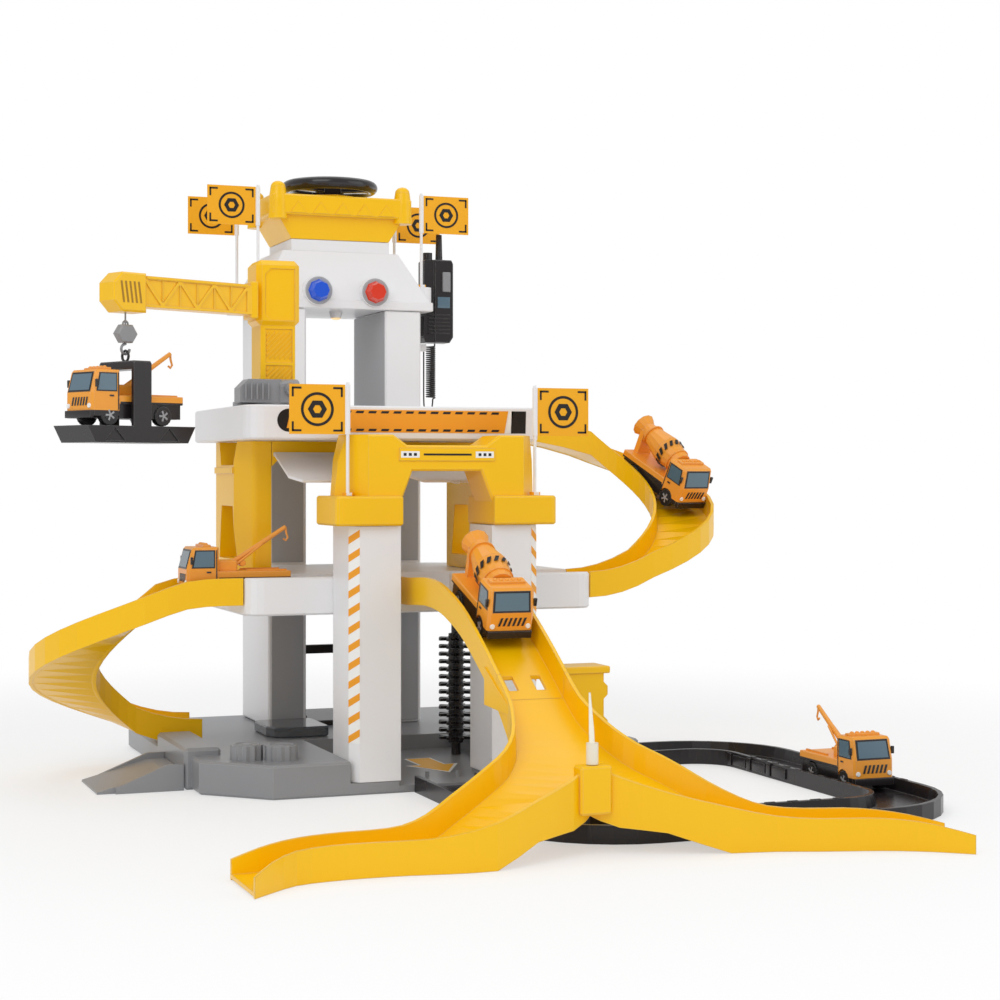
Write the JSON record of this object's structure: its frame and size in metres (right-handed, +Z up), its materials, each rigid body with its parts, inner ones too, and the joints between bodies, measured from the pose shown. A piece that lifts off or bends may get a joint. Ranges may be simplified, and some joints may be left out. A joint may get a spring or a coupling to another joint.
{
  "type": "toy parking garage",
  "caption": "Toy parking garage with a hand-wound lift, two decks, a tower crane, a gate, curved chutes, a road loop and small trucks.",
  "frame": {"origin": "on the underside of the base plate, in the middle of the gate's width", "axes": "+Z up, +X to the right seen from the front, +Y from the gate to the lift tower"},
  "size_m": [0.533, 0.657, 0.4474],
  "materials": {
    "yellow": "semi-gloss moulded",
    "white": "semi-gloss moulded",
    "gray": "semi-gloss moulded",
    "black": "semi-gloss moulded",
    "orange": "semi-gloss moulded",
    "flag": "printed sheet",
    "ivory": "semi-gloss moulded",
    "blue": "clear tinted",
    "red": "clear tinted",
    "smoke": "clear tinted",
    "tyre": "matte",
    "cord": "satin"
  },
  "bodies": {
    "garage": {"base_plate": "gray", "cover_plate": "smoke", "entry_ramp": "gray", "service_booth": "yellow", "deck_1": "white", "deck_2": "white", "gate_pillar_left": "white", "gate_pillar_right": "white", "gate_arch": "yellow", "gate_flag_left": "flag", "gate_flag_right": "flag", "storey_wall_left": "yellow", "storey_wall_right": "yellow", "door_frame": "yellow", "tower_column_left": "white", "tower_column_right": "white", "tower_head": "white", "lamp_blue": "blue", "lamp_red": "red", "tower_flag_1": "flag", "tower_flag_2": "flag", "tower_flag_3": "flag", "tower_flag_4": "flag", "tower_tray": "yellow", "chute_left": "yellow", "chute_right": "yellow", "chute_front": "yellow", "chute_fork": "yellow", "road_front": "black", "road_near": "black", "road_side": "black", "handset_body": "black", "handset_cord": "cord", "tow_truck_deck": "orange", "mixer_truck_side": "orange", "mixer_truck_front": "orange", "tow_truck_road": "orange"},
    "steering": {"steering_wheel": "black"},
    "lift": {"lift_car": "black"},
    "brush": {"brush_roller": "black"},
    "door_left": {"garage_door_left": "white"},
    "door_right": {"garage_door_right": "white"},
    "fin": {"lane_fin": "ivory"},
    "crane": {"crane_turntable": "gray", "crane_mast": "yellow", "crane_jib": "yellow"},
    "winch": {"winch_knob": "gray"},
    "hoist": {"hoist_hook": "gray", "hoist_pallet": "black", "tow_truck_pallet": "orange"},
    "button": {"talk_button": "gray"},
    "deck_truck_front_axle": {"tow_truck_deck_front_wheels": "tyre"},
    "deck_truck_rear_axle": {"tow_truck_deck_rear_wheels": "tyre"},
    "side_mixer_front_axle": {"mixer_truck_side_front_wheels": "tyre"},
    "side_mixer_rear_axle": {"mixer_truck_side_rear_wheels": "tyre"},
    "front_mixer_front_axle": {"mixer_truck_front_front_wheels": "tyre"},
    "front_mixer_rear_axle": {"mixer_truck_front_rear_wheels": "tyre"},
    "road_truck_front_axle": {"tow_truck_road_front_wheels": "tyre"},
    "road_truck_rear_axle": {"tow_truck_road_rear_wheels": "tyre"}
  },
  "joints": [
    {"name": "steering_turn", "type": "hinge", "parent": "garage", "child": "steering", "pos_m": [0, 0.118, 0.4353], "axis": [0, 0, 1], "range_deg": [0, 1080]},
    {"name": "lift_travel", "type": "slide", "parent": "garage", "child": "lift", "axis": [0, 0, 1], "range_m": [0, 0.2394]},
    {"name": "brush_spin", "type": "hinge", "parent": "garage", "child": "brush", "pos_m": [0.052, -0.038, 0.0053], "axis": [0, 0, 1], "continuous": true},
    {"name": "door_left_swing", "type": "hinge", "parent": "garage", "child": "door_left", "pos_m": [-0.0635, -0.0708, 0.2265], "axis": [1, 0, 0], "range_deg": [0, 68]},
    {"name": "door_right_swing", "type": "hinge", "parent": "garage", "child": "door_right", "pos_m": [0.023, -0.0708, 0.2265], "axis": [1, 0, 0], "range_deg": [0, 68]},
    {"name": "fin_swing", "type": "hinge", "parent": "garage", "child": "fin", "pos_m": [0, -0.4085, 0.0503], "axis": [0, 0, 1], "range_deg": [-3, 47]},
    {"name": "crane_slew", "type": "hinge", "parent": "garage", "child": "crane", "pos_m": [-0.095, -0.064, 0.2598], "axis": [0, 0, 1], "range_deg": [-60, 30]},
    {"name": "winch_turn", "type": "hinge", "parent": "crane", "child": "winch", "pos_m": [-0.088, -0.0923, 0.271], "axis": [0, 1, 0], "range_deg": [-260, 60]},
    {"name": "hoist_travel", "type": "slide", "parent": "crane", "child": "hoist", "axis": [0, 0, 1], "range_m": [-0.018, 0.004]},
    {"name": "button_press", "type": "slide", "parent": "garage", "child": "button", "axis": [0, 1, 0], "range_m": [0, 0.0015], "stiffness_N_per_m": 300},
    {"name": "deck_truck_front_roll", "type": "hinge", "parent": "garage", "child": "deck_truck_front_axle", "pos_m": [-0.15, -0.091, 0.1338], "axis": [0, 1, 0], "continuous": true},
    {"name": "deck_truck_rear_roll", "type": "hinge", "parent": "garage", "child": "deck_truck_rear_axle", "pos_m": [-0.108, -0.091, 0.1338], "axis": [0, 1, 0], "continuous": true},
    {"name": "side_mixer_front_roll", "type": "hinge", "parent": "garage", "child": "side_mixer_front_axle", "pos_m": [0.23443, -0.0394, 0.19462], "axis": [0.9511, 0.309, 0], "continuous": true},
    {"name": "side_mixer_rear_roll", "type": "hinge", "parent": "garage", "child": "side_mixer_rear_axle", "pos_m": [0.22284, -0.00372, 0.21349], "axis": [0.9511, 0.309, 0], "continuous": true},
    {"name": "front_mixer_front_roll", "type": "hinge", "parent": "garage", "child": "front_mixer_front_axle", "pos_m": [0, -0.26692, 0.11748], "axis": [1, 0, 0], "continuous": true},
    {"name": "front_mixer_rear_roll", "type": "hinge", "parent": "garage", "child": "front_mixer_rear_axle", "pos_m": [0, -0.22721, 0.13116], "axis": [1, 0, 0], "continuous": true},
    {"name": "road_truck_front_roll", "type": "hinge", "parent": "garage", "child": "road_truck_front_axle", "pos_m": [0.252, -0.28, 0.0098], "axis": [1, 0, 0], "continuous": true},
    {"name": "road_truck_rear_roll", "type": "hinge", "parent": "garage", "child": "road_truck_rear_axle", "pos_m": [0.252, -0.238, 0.0098], "axis": [1, 0, 0], "continuous": true}
  ],
  "couplings": [
    {"joint": "lift_travel", "follows": "steering_turn", "m_per_rad": 0.0127},
    {"joint": "winch_turn", "follows": "hoist_travel", "rad_per_m": 250}
  ]
}
